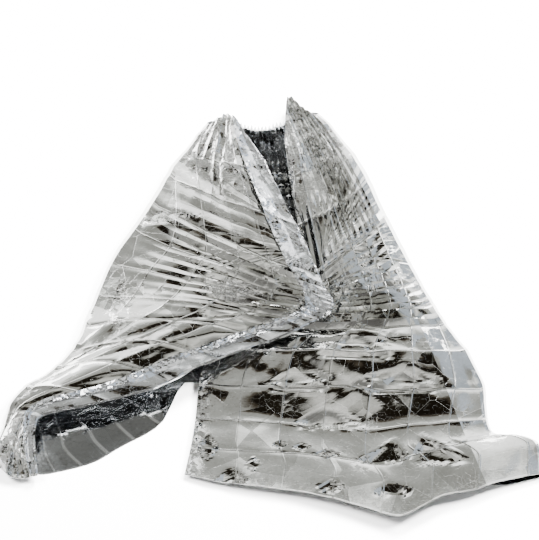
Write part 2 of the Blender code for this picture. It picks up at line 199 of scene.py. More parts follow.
# Where each part of the rows lies in the sheet, from the left front edge: down, start, end.
LEFT_PLACES = (
    (0.00, STRIP_WIDTH, 0.40),
    (0.45, STRIP_WIDTH, 0.62),
    (0.70, STRIP_WIDTH, 0.60),
    (1.00, STRIP_WIDTH, 0.38),
    (1.30, STRIP_WIDTH, 0.16),
)
BACK_PLACES = (
    (0.00, 0.40, 1.60),
    (0.45, 0.62, 1.52),
    (0.70, 0.60, 1.48),
    (1.00, 0.38, 1.40),
    (1.30, 0.16, 1.34),
)
RIGHT_PLACES = (
    (0.00, SHEET_WIDTH, 1.60),
    (0.45, SHEET_WIDTH, 1.52),
    (0.70, SHEET_WIDTH, 1.48),
    (1.00, SHEET_WIDTH, 1.40),
    (1.30, SHEET_WIDTH, 1.34),
)

# Height of the left panel above the floor: down, at its front edge, swelling in its middle, at its fold.
LEFT_HEIGHTS = (
    (0.00, 0.066, 0.006, 0.028),
    (0.15, 0.076, 0.014, 0.042),
    (0.30, 0.080, 0.020, 0.046),
    (0.50, 0.084, 0.022, 0.042),
    (0.65, 0.078, 0.024, 0.040),
    (0.80, 0.062, 0.026, 0.038),
    (1.00, 0.048, 0.024, 0.034),
    (1.15, 0.042, 0.012, 0.030),
    (1.21, 0.036, 0.010, 0.026),
    (1.30, 0.012, 0.006, 0.012),
)

# The same for the right panel, which passes under the left one at its front edge.
RIGHT_HEIGHTS = (
    (0.00, 0.030, 0.008, 0.028),
    (0.20, 0.026, 0.016, 0.046),
    (0.40, 0.026, 0.020, 0.044),
    (0.62, 0.026, 0.022, 0.040),
    (0.867, 0.024, 0.026, 0.036),
    (0.975, 0.018, 0.014, 0.034),
    (1.083, 0.012, 0.002, 0.024),
    (1.192, 0.013, 0.009, 0.020),
    (1.30, 0.010, 0.018, 0.014),
)

# How steep the sides of a pleat may be, and the tallest pleat from ridge to valley.
PLEAT_SLOPE = 4.0
FRONT_PLEAT = 0.021
BACK_PLEAT = 0.023

# The place where the front panels are gathered, how far from it their pleats start to fade and have faded,
# what is left of them beyond, and how far raised film leans towards the hem for each metre of its height.
GATHER_X, GATHER_Y = 0.140, 0.545
LEFT_REACH = (0.06, 0.36)
RIGHT_REACH = (0.20, 0.50)
FAR_PLEAT = 0.12
LEAN = 0.72

# How far the rows of the left panel arch towards the neck between its front edge and its fold: down, rise.
LEFT_ARCH = (
    (0.00, 0.0),
    (0.52, 0.0),
    (0.66, 0.012),
    (0.80, 0.042),
    (0.95, 0.042),
    (1.12, 0.010),
    (1.30, 0.0),
)

# Where the lower rows of the right panel begin to lie flat, and do: down.
CALM_FROM = (0.92, 1.04)

# The panels of the packing folds: how far their corners stand off, and the ridge along each fold.
CORNER_RISE = 0.006
RIDGE_RISE = 0.0018
RIDGE_HALF_WIDTH = 0.012

# Dents of the front panels, each standing on a packing fold: x and y of its point, x of its left and right
# foot, y of its base, depth.
DENTS = (
    (0.290, 0.174, 0.205, 0.322, 0.114, 0.010),
    (0.345, 0.185, 0.322, 0.465, 0.108, 0.010),
    (0.278, 0.051, 0.232, 0.334, 0.017, 0.006),
    (-0.080, 0.098, -0.117, -0.039, 0.057, 0.006),
    (0.140, 0.262, 0.060, 0.215, 0.214, 0.009),
    (0.320, 0.370, 0.215, 0.400, 0.316, 0.011),
    (0.070, 0.360, 0.000, 0.150, 0.316, 0.009),
    (0.200, 0.470, 0.110, 0.300, 0.410, 0.012),
    (-0.566, 0.172, -0.584, -0.528, 0.070, 0.010),
)

# The film as it is drawn: rows in each step of the packing folds, by how many steps the fold has, and
# columns in each part of a row.
ROWS_PER_STEP = {2: 9, 3: 5, 4: 4, 6: 3}
STRIP_COLUMNS = 8
EDGE_ROLL_COLUMNS = 3
LEFT_COLUMNS = 60
SIDE_ROLL_COLUMNS = 5
BACK_COLUMNS = 60
RIGHT_COLUMNS = 96
FILM_THICKNESS = 0.0004

# Details that lie on the folds: the rise of a panel between its packing folds, the creases in it, and the
# ridge along each packing fold that runs down the sheet.
PILLOW_RISE = 0.0110
PILLOW_CREASE = 0.0016
CROSS_RIDGE_RISE = 0.0014
CROSS_RIDGE_HALF_WIDTH = 0.012

# Where down the sheet the gathers draw the film together, so that its panels rise less: it starts, is full,
# fades and is gone.
GATHERED_ROWS = (0.16, 0.30, 0.66, 0.84)

# Creases that run every way: how many ways, how far apart they are and how tall. The fine ones are taller
# where the film is crumpled.
CREASE_WAYS = 5
WIDE_CREASES = {"seed": 3, "length": 0.110, "rise": 0.0020}
FINE_CREASES = {"seed": 4, "length": 0.035}
FINE_SMOOTH_RISE = 0.0001
FINE_CRUMPLED_RISE = 0.0018

# Edges that turn by less than this, in degrees, are drawn smooth.
CREASE_ANGLE = 15

# Middle of the crushed corner at the end of the left wing, and how far across the sheet the strip's free
# edge reaches, as it lies.
CORNER_X, CORNER_Y = -0.560, 0.130
STRIP_REACH = 2.15 * STRIP_WIDTH

# Crumpled zones, each along a line or round a middle: how crumpled they are, and how far from there they
# start to fade and have faded.
FREE_EDGE_ZONE = (0.90, 0.008, 0.024)
UNDER_STRIP_ZONE = (0.80, 0.006, 0.022)
COLLAR_ZONE = (0.45, 0.050, 0.220)
GATHER_ZONE = (0.30, 0.020, 0.090)
CORNER_ZONE = (0.40, 0.020, 0.130)
RIGHT_EDGE_ZONE = (0.60, 0.010, 0.040)
HEM_ZONE = (0.08, 0.000, 0.030)

# Where down the sheet the strip gets calmer and is calm, and where across it its smoother half starts and
# is full.
STRIP_CALM_FROM = (0.50, 0.72)
SMOOTH_HALF_FROM = (0.022, 0.034)

# The fan of thin pleats where the front edges are gathered: its middle, its pleats in a radian, and how
# steep they are.
FAN_MIDDLE = (0.120, 0.100, 0.0)
FAN_PLEATS = 16.0
FAN_SLOPE = 0.32

# The crease down the right side: a point on it, the way to its right, and how steeply the film falls
# there.
FLAP_CREASE = (0.308, 0.032, 0.0)
FLAP_WAY = (0.95, 0.32, 0.0)
FLAP_SLOPE = 0.30

# Crushed spots: x, y, half width, half height, how crushed. They give the finish steeper facets and its
# painted sheen.
CRUSHED_SPOTS = (
    (-0.090, -0.012, 0.080, 0.042, 0.60),
    (-0.425, -0.040, 0.030, 0.065, 0.55),
    (-0.340, -0.035, 0.038, 0.095, 0.45),
    (-0.250, 0.215, 0.130, 0.022, 0.50),
    (0.175, 0.020, 0.030, 0.060, 0.50),
)

# Spots where the panels lean back and mirror the bright side of the studio, or lean forward, below zero,
# and mirror its dark middle: x, y, half width, half height, lean.
LEANING_SPOTS = (
    (-0.330, -0.065, 0.300, 0.170, 1.0),
    (-0.046, -0.270, 0.160, 0.110, 0.9),
    (-0.125, 0.430, 0.160, 0.160, -3.2),
    (0.154, -0.005, 0.026, 0.050, -1.5),
    (0.232, -0.098, 0.040, 0.080, -1.0),
    (0.330, -0.193, 0.100, 0.080, -0.4),
    (0.175, -0.193, 0.090, 0.070, -0.4),
    (0.207, -0.290, 0.080, 0.070, -1.3),
    (0.219, 0.007, 0.036, 0.050, 1.4),
    (0.005, 0.015, 0.020, 0.060, 1.4),
    (0.085, 0.075, 0.034, 0.028, 1.4),
    (0.025, -0.387, 0.020, 0.014, -3.0),
    (0.074, -0.395, 0.022, 0.014, -3.0),
    (0.131, -0.415, 0.034, 0.014, -3.0),
    (0.138, -0.507, 0.036, 0.022, -3.0),
    (-0.035, -0.441, 0.020, 0.022, -3.0),
    (-0.136, -0.393, 0.024, 0.050, -3.0),
)

# Where across the sheet the right panel starts and is full, and where down the sheet its hem starts to lean
# back and does. How far the dents lean forward, and how deep a dent is that leans in full.
RIGHT_PANEL_FROM = (1.33, 1.36)
PALE_HEM_FROM = (1.05, 1.12)
DENT_LEAN = -2.2
FULL_DENT = 0.006

# How steeply a lean of 1 tilts a panel, and how steeply the panels tilt by chance.
LEAN_TILT = 0.075
PANEL_TILT = 0.09

# The crease along the turned-back strip: how far across the sheet, and how steeply the film rises from it.
STRIP_CREASE = 0.028
STRIP_TILT = 0.30

# Facets that cover the film: how many to a metre, how steep they are where it is smooth, and how much
# steeper where it is crumpled.
LARGE_FACETS = (13.0, 0.13, 0.3)
SMALL_FACETS = (60.0, 0.01, 0.7)
FINE_FACETS = (170.0, 0.008, 0.4)

# Wear of the film between which its patches of small facets start and are full, and how steep they are.
PATCH_WEAR = (0.56, 0.70)
PATCH_TILT = 0.22

# The two sides of the film: its colours where it is bright, dull, under its painted sheen or worn along a
# packing fold, its roughness, and the lines along the packing folds: their depth and width, how much of
# their colour they have, and how many run down the sheet to each fold. The inner side's bright and dull
# colours are painted shade, darker than the worn side's, for the shade inside the cape where it shows at
# the neck and the hem.
WORN_SIDE = {
    "bright": (0.93, 0.93, 0.91, 1),
    "dull": (0.55, 0.55, 0.52, 1),
    # painted sheen: a painted highlight that whitens the film where it is crumpled
    "painted_sheen": (0.90, 0.90, 0.89, 1),
    "line": (0.70, 0.70, 0.68, 1),
    "roughness": 0.02,
    "line_depth": 0.0006,
    "line_width": 0.0032,
    "line_share": 0.6,
    "lines_to_a_fold": 1,
}
# Painted shade: the inner side's bright and dull colours are dark to stand for the shade inside the cape.
INNER_SIDE = {
    "bright": (0.36, 0.365, 0.37, 1),
    "dull": (0.24, 0.243, 0.247, 1),
    # painted sheen: a painted bluish reflection on the turned-back strip and where the film is crumpled
    "painted_sheen": (0.91, 0.93, 0.96, 1),
    "line": (0.72, 0.73, 0.74, 1),
    "roughness": 0.09,
    "line_depth": 0.0002,
    "line_width": 0.0050,
    "line_share": 0.95,
    "lines_to_a_fold": 2,
}

# Painted light on the inner side where it lies sheltered between the panels, lifting the shade there: its
# colour, and where down the sheet it starts, is full, fades and is gone.
PAINTED_LIGHT_BETWEEN_PANELS = (0.80, 0.81, 0.82, 1)
PAINTED_LIGHT_ROWS = (0.40, 0.60, 1.12, 1.20)

# The studio that the film mirrors, round the arc from the back horizon, over the top, to the front horizon:
# place on the arc as a share of the half circle, and colour.
ARC_STOPS = (
    (0.00, (1.00, 1.00, 1.00)),
    (0.12, (0.95, 0.96, 0.95)),
    (0.17, (0.60, 0.61, 0.59)),
    (0.22, (0.27, 0.275, 0.265)),
    (0.28, (0.175, 0.178, 0.168)),
    (0.355, (0.150, 0.150, 0.140)),
    (0.38, (0.030, 0.025, 0.018)),
    (0.40, (0.004, 0.003, 0.002)),
    (0.48, (0.006, 0.005, 0.003)),
    (0.52, (0.22, 0.22, 0.205)),
    (0.60, (0.45, 0.45, 0.43)),
    (0.72, (0.11, 0.11, 0.105)),
    (1.00, (0.040, 0.038, 0.036)),
)
STUDIO_LIGHT = 2.8

# Its side walls: colour, and how far to the side they start, are full, fade and are gone.
LEFT_WALL = (0.155, 0.155, 0.148)
RIGHT_WALL = (0.25, 0.278, 0.312)
WALL_REACH = (0.46, 0.56, 0.76, 0.84)

# Soft boxes that light the floor: name, place, size, power.
SOFT_BOXES = (
    ("left_box", (-2.6, 0.2, 3.2), (1.6, 1.6), 1700),
    ("right_box", (2.6, 0.8, 3.0), (1.4, 1.4), 3000),
    ("back_box", (0.8, 2.6, 3.2), (1.4, 1.2), 4200),
)

# The camera: what it looks at, how many degrees above the floor it stands, how far away, and how wide a
# piece of the floor fills its picture.
CAMERA_AIM = (0.002, 0.110, 0.0)
CAMERA_RISE = 54
CAMERA_DISTANCE = 12.0
VIEW_WIDTH = 1.245


def column(table, number):
    return np.array([row[number] for row in table])


def along(table, number, place):
    """The value in a column of a table, on a smooth curve through its rows."""
    at, value = column(table, 0), column(table, number)
    rise = np.diff(value) / np.diff(at)
    before, after = rise[:-1], rise[1:]
    same = before * after > 0
    between = np.divide(2 * before * after, before + after, out=np.zeros(len(before)), where=same)
    slope = np.concatenate([rise[:1], between, rise[-1:]])
    row = np.clip(np.searchsorted(at, place, side="right") - 1, 0, len(at) - 2)
    width = at[row + 1] - at[row]
    t = np.clip((place - at[row]) / width, 0, 1)
    from_row = (1 + 2 * t) * (1 - t) ** 2 * value[row] + t * (1 - t) ** 2 * width * slope[row]
    to_row = t * t * (3 - 2 * t) * value[row + 1] - t * t * (1 - t) * width * slope[row + 1]
    return from_row + to_row


def smooth(low, high, value):
    part = np.clip((value - low) / (high - low), 0, 1)
    return part * part * (3 - 2 * part)


def fold_lines(rows_per_step):
    """Distance down the sheet of the lines of its steps, each step cut into finer rows."""
    fold = SHEET_LENGTH / PACKING_FOLDS_DOWN
    lines = [0.0]
    for number, steps in enumerate(STEPS_PER_FOLD):
        rows = steps * rows_per_step.get(steps, 1)
        lines += [fold * (number + (row + 1) / rows) for row in range(rows)]
    return np.array(lines)


LINES = fold_lines({})
ROWS = fold_lines(ROWS_PER_STEP)
BACK_LINES = ROWS[::3]


def zigzag(number, count, seed):
    """Ridge on every even line and valley on every odd one, each a little taller or lower than the next."""
    tall = np.random.default_rng(seed).uniform(0.55, 1.15, count + 1)
    return (1 - 2 * np.abs(np.mod(number + 1, 2) - 1)) * np.interp(number, np.arange(count + 1), tall)


def plan_of(table, place):
    return np.stack([along(table, 1, place), along(table, 2, place)], axis=-1)


def length_of(vectors):
    return np.linalg.norm(vectors, axis=-1)


def across_of(first, second):
    """How wide the strip between two neighbouring lines is: the part of `second` square to `first`."""
    cross = first[..., 0] * second[..., 1] - first[..., 1] * second[..., 0]
    return np.abs(cross) / np.maximum(length_of(first), 1e-9)


def pleat_height(cut, laid, tallest):
    """How tall a fold stands where a length of film is laid in less than its length."""
    spare = np.sqrt(np.maximum(cut * cut - laid * laid, 0))
    return np.minimum(np.minimum(spare, PLEAT_SLOPE * laid), tallest)


def swell(across, down):
    """Low uneven rise and fall of the film, as it lies loose."""
    return (
        0.0035 * np.sin(9.1 * across + 5.3 * down + 0.4)
        + 0.0030 * np.sin(-6.7 * across + 12.4 * down + 2.1)
        + 0.0020 * np.sin(21.0 * across - 8.0 * down + 4.0)
    )


def packing_place(across, down):
    """Number of the packing fold at each point, and how far through its panel the point lies."""
    i_place = np.clip(across / SHEET_WIDTH, 0, 1) * PACKING_FOLDS_ACROSS
    j_place = np.clip(down / SHEET_LENGTH, 0, 1) * PACKING_FOLDS_DOWN
    i = np.minimum(i_place.astype(int), PACKING_FOLDS_ACROSS - 1)
    j = np.minimum(j_place.astype(int), PACKING_FOLDS_DOWN - 1)
    return i, j, i_place - i, j_place - j


def creases(across, down):
    """Flat facets between the packing folds, and the ridge or groove along each fold."""
    shape = (PACKING_FOLDS_ACROSS + 1, PACKING_FOLDS_DOWN + 1)
    corner = np.random.default_rng(11).uniform(-CORNER_RISE, CORNER_RISE, shape)
    i, j, s, t = packing_place(across, down)
    a, b, c, d = corner[i, j], corner[i + 1, j], corner[i, j + 1], corner[i + 1, j + 1]
    falling = np.where(s > t, a + (b - a) * s + (d - b) * t, a + (d - c) * s + (c - a) * t)
    rising = np.where(s + t < 1, a + (b - a) * s + (c - a) * t, d + (c - d) * (1 - s) + (b - d) * (1 - t))
    facet = np.where((i + j) % 2 == 0, falling, rising)
    from_fold = np.minimum(t, 1 - t) * SHEET_LENGTH / PACKING_FOLDS_DOWN
    side = np.where(np.round(j + t) % 2 == 0, 1, -1)
    return facet + side * RIDGE_RISE * np.clip(1 - from_fold / RIDGE_HALF_WIDTH, 0, 1)


def dents(points):
    """Three-sided dents that stand on a packing fold, each with its point towards the neck."""
    depth = np.zeros(points.shape[:2])
    for point_x, point_y, left_x, right_x, base_y, deepest in DENTS:
        up = (points[..., 1] - base_y) / (point_y - base_y)
        lean = np.clip(up, 0, 1)
        left = left_x + (point_x - left_x) * lean
        right = right_x + (point_x - right_x) * lean
        half = np.maximum((right - left) / 2, 1e-4)
        off_middle = np.abs(points[..., 0] - (left + right) / 2) / half
        inside = np.clip(2 * (1 - off_middle), 0, 1) * np.clip(1 - up, 0, 1) * np.clip(1 + 5 * up, 0, 1)
        depth = np.maximum(depth, deepest * inside)
    return depth


class Panel:
    """A part of the sheet, from one line down it to another, laid in rows."""

    def __init__(self, start, end, neck, hem, hem_from, places, steps, lines, seed, gathered, neck_pleats):
        self.start = start
        self.end = end
        self.neck = neck
        self.hem = hem
        self.hem_from = hem_from
        self.places = places
        self.steps = steps
        self.lines = lines
        self.seed = seed
        self.gathered = gathered
        self.neck_pleats = neck_pleats

    def across(self, share, down):
        """Distance from the left front edge, measured in the sheet."""
        start, end = along(self.places, 1, down), along(self.places, 2, down)
        return start + (end - start) * share

    def straight(self, share, down):
        start, end = plan_of(self.start, down), plan_of(self.end, down)
        return start + (end - start) * share[..., None]

    def plan(self, share, down):
        points = self.straight(share, down)
        to_hem = np.clip((down - self.hem_from) / (SHEET_LENGTH - self.hem_from), 0, 1) ** 1.6
        to_neck = np.clip(1 - down / NECK_ENDS, 0, 1) ** 2
        for curve, reach, place in ((self.hem, to_hem, SHEET_LENGTH), (self.neck, to_neck, 0.0)):
            off_straight = plan_of(curve, share) - self.straight(share, np.full(down.shape, place))
            points = points + off_straight * reach[..., None]
        return points

    def ways(self, share, down, step_down):
        """Plan directions along the row and down the sheet, each as long as the whole row and one step."""
        above, below = np.maximum(down - step_down / 2, 0), np.minimum(down + step_down / 2, SHEET_LENGTH)
        steps = (below - above) / step_down
        down_way = (self.plan(share, below) - self.plan(share, above)) / steps[..., None]
        left, right = np.maximum(share - 0.01, 0), np.minimum(share + 0.01, 1)
        along_way = (self.plan(right, down) - self.plan(left, down)) / (right - left)[..., None]
        return along_way, down_way

    def row_zigzag(self, down):
        count = len(self.lines)
        return zigzag(np.interp(down, self.lines, np.arange(count)), count - 1, self.seed)

    def neck_zigzag(self, share):
        return zigzag(share * self.steps, self.steps, self.seed + 1)

    def row_part(self, down):
        """How far the pleats along the rows have opened, from the neck to the hem."""
        starts, full, fades, gone = self.gathered
        return smooth(starts, full, down) * (1 - smooth(fades, gone, down))

    def neck_part(self, down):
        """How tall the pleats that run down from the neck still are."""
        return 1 - smooth(*self.neck_pleats, down)

    def pleats(self, share, down):
        """Height of the pleats that run along the rows, and of those that run down from the neck."""
        step_down = np.interp(down, LINES[:-1] + np.diff(LINES) / 2, np.diff(LINES))
        along_way, down_way = self.ways(share, down, step_down)
        row_pleat = pleat_height(step_down, across_of(along_way, down_way), FRONT_PLEAT)
        ends = (self.across(np.full(down.shape, end), down) for end in (0.0, 1.0))
        step_across = np.abs(np.subtract(*ends)) / self.steps
        neck_pleat = pleat_height(step_across, across_of(down_way, along_way) / self.steps, FRONT_PLEAT)
        rows = row_pleat * self.row_zigzag(down) * self.row_part(down)
        columns = neck_pleat * self.neck_zigzag(share) * self.neck_part(down)
        return (rows + columns) / 2


LEFT = Panel(
    start=LEFT_EDGE, end=LEFT_FOLD, neck=LEFT_NECK, hem=LEFT_HEM, hem_from=1.22,
    places=LEFT_PLACES, steps=LEFT_STEPS, lines=LINES, seed=21,
    gathered=(0.14, 0.32, 0.58, 0.82), neck_pleats=(0.10, 0.34),
)
BACK = Panel(
    start=LEFT_FOLD, end=RIGHT_FOLD, neck=BACK_NECK, hem=BACK_HEM, hem_from=0.55,
    places=BACK_PLACES, steps=BACK_STEPS, lines=BACK_LINES, seed=5,
    gathered=(0.10, 0.24, 0.86, 1.08), neck_pleats=(0.34, 0.70),
)
RIGHT = Panel(
    start=RIGHT_EDGE, end=RIGHT_FOLD, neck=RIGHT_NECK, hem=RIGHT_HEM, hem_from=0.93,
    places=RIGHT_PLACES, steps=RIGHT_STEPS, lines=LINES, seed=31,
    gathered=(0.14, 0.32, 0.70, 0.88), neck_pleats=(0.16, 0.36),
)


def panel_height(heights, share, down):
    edge, middle, fold = (along(heights, number, down) for number in (1, 2, 3))
    return edge + (fold - edge) * share + middle * 4 * share * (1 - share)


def lay_front(panel, heights, reach, share, down):
    """Points of a front panel, from its front edge to its fold, with their places across the sheet."""
    points = panel.plan(share, down)
    across = panel.across(share, down)
    base = panel_height(heights, share, down)
    flat_rows = 1 - 0.6 * smooth(*CALM_FROM, down) * (panel is RIGHT)
    uneven = swell(across, down) + creases(across, down)
    high = base + uneven * np.clip(base / 0.020, 0, 1) * flat_rows
    open_pleat = (0.15 + 0.85 * smooth(0, 0.2, share)) * (1 - 0.75 * smooth(0.68, 1.0, share))
    clear_of_strip = np.maximum(smooth(0.42, 0.60, share), smooth(0.14, 0.30, down))
    near_gather = 1 - smooth(*reach, np.hypot(points[..., 0] - GATHER_X, points[..., 1] - GATHER_Y))
    far_pleat = FAR_PLEAT + 0.35 * (1 - smooth(0.46, 0.62, down))
    open_pleat = open_pleat * (far_pleat + (1 - far_pleat) * near_gather)
    high = high + panel.pleats(share, down) * open_pleat * clear_of_strip - dents(points)
    lowest = FILM_THICKNESS / 2 + 0.0035 * (1 - smooth(1.22, 1.27, down))
    points[..., 1] -= LEAN * base * (1 - smooth(1.05, 1.25, down))
    if panel is LEFT:
        points[..., 1] += along(LEFT_ARCH, 1, down) * 4 * share * (1 - share)
    return np.concatenate([points, np.maximum(high, lowest)[..., None], across[..., None]], axis=-1)


def lay_back(share, down):
    """Points of the back, from the left side fold to the right one."""
    points = BACK.plan(share, down)
    rows = (1 + BACK.row_zigzag(down)) * BACK.row_part(down)
    columns = (1 + BACK.neck_zigzag(share)) * BACK.neck_part(down)
    clear_of_folds = smooth(0, 0.07, share) * (1 - smooth(0.93, 1, share))
    high = FILM_THICKNESS / 2 + np.maximum(np.maximum(rows, columns), 0) * clear_of_folds * BACK_PLEAT / 2
    return np.concatenate([points, high[..., None], BACK.across(share, down)[..., None]], axis=-1)


def grid_of(columns):
    share = np.arange(columns + 1) / columns
    return np.meshgrid(share, ROWS)


def drawn_in(grid, radius):
    """The points of a panel with its last column drawn in by the radius of the fold beyond it."""
    back_along = grid[:, 0, :2] - grid[:, -1, :2]
    shift = back_along / length_of(back_along)[:, None] * radius[:, None]
    near = np.linspace(0, 1, grid.shape[1]) ** 3
    moved = grid.copy()
    moved[..., :2] += shift[:, None, :] * near[None, :, None]
    return moved


def roll(top, bottom, top_way, bottom_way, columns):
    """Points round a fold, from the upper layer to the lower one, without its two ends."""
    radius = (top[:, 2] - bottom[:, 2]) / 2
    points = []
    for number in range(1, columns):
        part = number / columns
        way = top_way * (1 - part) + bottom_way * part
        way = way / length_of(way)[:, None]
        turned = top * (1 - part) + bottom * part
        turned[:, :2] += way * (radius * np.sin(np.pi * part))[:, None]
        turned[:, 2] = bottom[:, 2] + radius * (1 + np.cos(np.pi * part))
        points.append(turned)
    return np.stack(points, axis=1)


def outward(grid):
    """Unit plan directions in which the rows of a panel leave its last column."""
    way = grid[:, -1, :2] - grid[:, -4, :2]
    return way / length_of(way)[:, None]


def turned_back_strip(left):
    """The strip of the left front edge, lying just above the panel that it is turned back on."""
    length = length_of(left[:, -1, :2] - left[:, 0, :2])
    width = np.minimum(along(STRIP_TAPER, 1, ROWS), 0.45 * length)
    number = np.outer(width / length * LEFT_COLUMNS, 1 - np.arange(STRIP_COLUMNS + 1) / STRIP_COLUMNS)
    before = np.minimum(number.astype(int), LEFT_COLUMNS - 1)
    part = (number - before)[..., None]
    rows = np.arange(len(left))[:, None]
    strip = left[rows, before] * (1 - part) + left[rows, before + 1] * part
    strip[..., 2] += STRIP_GAP
    strip[..., 3] = STRIP_WIDTH * np.arange(STRIP_COLUMNS + 1) / STRIP_COLUMNS
    return strip


def middle_surface():
    """Grid of points of the whole sheet, a row for each line down it, with how far across each is."""
    left = lay_front(LEFT, LEFT_HEIGHTS, LEFT_REACH, *grid_of(LEFT_COLUMNS))
    right = lay_front(RIGHT, RIGHT_HEIGHTS, RIGHT_REACH, *grid_of(RIGHT_COLUMNS))
    back = lay_back(*grid_of(BACK_COLUMNS))
    left_radius = (left[:, -1, 2] - back[:, 0, 2]) / 2
    right_radius = (right[:, -1, 2] - back[:, -1, 2]) / 2
    left = drawn_in(left, left_radius)
    right = drawn_in(right, right_radius)
    back = drawn_in(back, right_radius)
    back = drawn_in(back[:, ::-1], left_radius)[:, ::-1]
    strip = turned_back_strip(left)
    edge_roll = roll(strip[:, -1], left[:, 0], outward(strip), outward(left[:, ::-1]), EDGE_ROLL_COLUMNS)
    left_roll = roll(left[:, -1], back[:, 0], outward(left), outward(back[:, ::-1]), SIDE_ROLL_COLUMNS)
    right_roll = roll(right[:, -1], back[:, -1], outward(right), outward(back), SIDE_ROLL_COLUMNS)
    parts = [strip, edge_roll, left, left_roll, back, right_roll[:, ::-1], right[:, ::-1]]
    return np.concatenate(parts, axis=1)


def eased(grid, times):
    """The grid with each point moved towards its neighbours, which flattens its small folds."""
    for _ in range(times):
        for axis in (0, 1):
            inner = np.take(grid, range(1, grid.shape[axis] - 1), axis=axis)
            before = np.take(grid, range(0, grid.shape[axis] - 2), axis=axis)
            after = np.take(grid, range(2, grid.shape[axis]), axis=axis)
            first, last = np.take(grid, [0], axis=axis), np.take(grid, [-1], axis=axis)
            grid = np.concatenate([first, (before + 2 * inner + after) / 4, last], axis=axis)
    return grid


def normals(grid):
    """Unit normals of a grid of points, on the worn side of the sheet."""
    cross = np.cross(np.gradient(grid, axis=1), np.gradient(grid, axis=0))
    return cross / np.maximum(length_of(cross), 1e-12)[..., None]


def triangle_wave(value):
    return 4 * np.abs(value - np.floor(value + 0.5)) - 1


def crumple(across, down, seed, length, rise):
    """Facets between creases that run every way, each a little bent."""
    random = np.random.default_rng(seed)
    height = np.zeros(across.shape)
    for _ in range(CREASE_WAYS):
        turn, phase = random.uniform(0, math.pi), random.uniform(0, 1)
        pitch = length * random.uniform(0.7, 1.5)
        bend = 0.35 * np.sin(across * random.uniform(9, 17) + down * random.uniform(9, 17) + phase * 6)
        place = (across * math.cos(turn) + down * math.sin(turn)) / pitch
        height += triangle_wave(place + bend + phase)
    return height * rise / math.sqrt(CREASE_WAYS)


def pillows(across, down):
    """Rise or dent inside each panel of the packing folds, with a crease or two of its own."""
    random = np.random.default_rng(7)
    shape = (PACKING_FOLDS_ACROSS, PACKING_FOLDS_DOWN)
    i, j, s, t = packing_place(across, down)
    rise = random.uniform(-1, 1, shape) ** 3
    turn, phase = random.uniform(0, math.pi, shape), random.uniform(0, 1, shape)
    waves = random.uniform(0.7, 1.3, shape)
    top_s, top_t = random.uniform(0.3, 0.7, shape), random.uniform(0.3, 0.7, shape)
    reach_s = np.where(s < top_s[i, j], s / top_s[i, j], (1 - s) / (1 - top_s[i, j]))
    reach_t = np.where(t < top_t[i, j], t / top_t[i, j], (1 - t) / (1 - top_t[i, j]))
    point = np.minimum(reach_s, reach_t)
    slant = triangle_wave((s * np.cos(turn[i, j]) + t * np.sin(turn[i, j])) * waves[i, j] + phase[i, j])
    return PILLOW_RISE * rise[i, j] * point + PILLOW_CREASE * slant * np.minimum(1, 2.5 * point)


def cross_ridges(across, down):
    """Ridge or groove along each packing fold that runs down the sheet."""
    i, j, s, t = packing_place(across, down)
    from_fold = np.minimum(s, 1 - s) * SHEET_WIDTH / PACKING_FOLDS_ACROSS
    side = np.where((np.round(i + s) + j) % 2 == 0, 1, -1)
    return side * CROSS_RIDGE_RISE * np.clip(1 - from_fold / CROSS_RIDGE_HALF_WIDTH, 0, 1)


def fading(zone, distance):
    """How crumpled a zone is at a distance from its line or middle."""
    most, fades, gone = zone
    return most * (1 - smooth(fades, gone, distance))


def crumpled_zone(grid, down):
    """How finely crumpled the film is: most along its front edges, less at its neck, gathers and corner."""
    x, y, across = grid[..., 0], grid[..., 1], grid[..., 3]
    upper = 1 - smooth(*STRIP_CALM_FROM, down)
    free_half = 1 - 0.75 * smooth(*SMOOTH_HALF_FROM, across) * (across < STRIP_WIDTH)
    strip = (1 - smooth(STRIP_WIDTH, STRIP_WIDTH + 0.035, across)) * (0.10 + 0.45 * upper) * free_half
    zones = [
        strip,
        fading(FREE_EDGE_ZONE, across),
        fading(UNDER_STRIP_ZONE, np.abs(across - STRIP_REACH)),
        fading(COLLAR_ZONE, down),
        fading(GATHER_ZONE, np.hypot(x - GATHER_X, y - GATHER_Y)),
        fading(CORNER_ZONE, np.hypot(x - CORNER_X, y - CORNER_Y)),
        fading(RIGHT_EDGE_ZONE, SHEET_WIDTH - across),
        fading(HEM_ZONE, SHEET_LENGTH - down),
    ]
    return np.maximum.reduce(zones)


def sheet_faces(rows, columns):
    """Corners of the faces of both sides of the sheet and of its cut edges, the worn side first."""
    number = np.arange(rows * columns).reshape(rows, columns)
    ring = [number[:-1, :-1], number[:-1, 1:], number[1:, 1:], number[1:, :-1]]
    worn = np.stack([corner.ravel() for corner in ring], axis=-1)
    inner = worn[:, ::-1] + rows * columns
    rim = np.concatenate([number[0, :], number[1:, -1], number[-1, -2::-1], number[-2:0:-1, 0]])
    following = np.roll(rim, -1)
    below = rows * columns
    edge = np.stack([rim, rim + below, following + below, following], axis=-1)
    return worn, inner, edge


